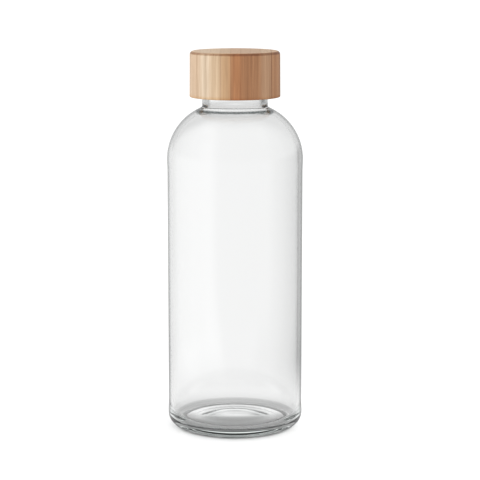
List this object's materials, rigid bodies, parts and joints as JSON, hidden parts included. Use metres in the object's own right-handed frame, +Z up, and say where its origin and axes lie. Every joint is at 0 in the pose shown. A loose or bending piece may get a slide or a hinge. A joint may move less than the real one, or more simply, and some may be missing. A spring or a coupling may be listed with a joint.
{
  "type": "glass water bottle",
  "caption": "Round-shouldered clear glass water bottle with a short neck, and a screw lid turned from laminated bamboo with a threaded plastic insert and a silicone seal.",
  "frame": {"origin": "on the bottle's axis, at the plane that the foot ring stands on", "axes": "+Z up along the bottle's axis; the lid's bamboo strips stand face to face along X"},
  "size_m": [0.0752, 0.0752, 0.21],
  "materials": {
    "glass": "clear, polished soda-lime glass",
    "silicone": "translucent white silicone, matt",
    "insert_plastic": "moulded white polypropylene, satin",
    "adhesive": "set hot-melt glue",
    "bamboo": "fine-sanded, thin matt oil"
  },
  "bodies": {
    "bottle": {"glass_bottle": "glass"},
    "seal": {"sealing_ring": "silicone"},
    "lid": {"threaded_insert": "insert_plastic", "insert_adhesive": "adhesive", "bamboo_strip_1": "bamboo", "bamboo_strip_2": "bamboo", "bamboo_strip_3": "bamboo", "bamboo_strip_4": "bamboo", "bamboo_strip_5": "bamboo", "bamboo_strip_6": "bamboo", "bamboo_strip_7": "bamboo", "bamboo_strip_8": "bamboo", "bamboo_strip_9": "bamboo"}
  },
  "joints": [
    {"name": "lid_lift", "type": "slide", "parent": "bottle", "child": "seal", "axis": [0, 0, 1], "range_m": [0, 0.0254]},
    {"name": "lid_turn", "type": "hinge", "parent": "seal", "child": "lid", "pos_m": [0, 0, 0.1848], "axis": [0, 0, 1], "range_deg": [0, 2160]}
  ],
  "couplings": [
    {"joint": "lid_lift", "follows": "lid_turn", "m_per_rad": 0.00067375}
  ]
}
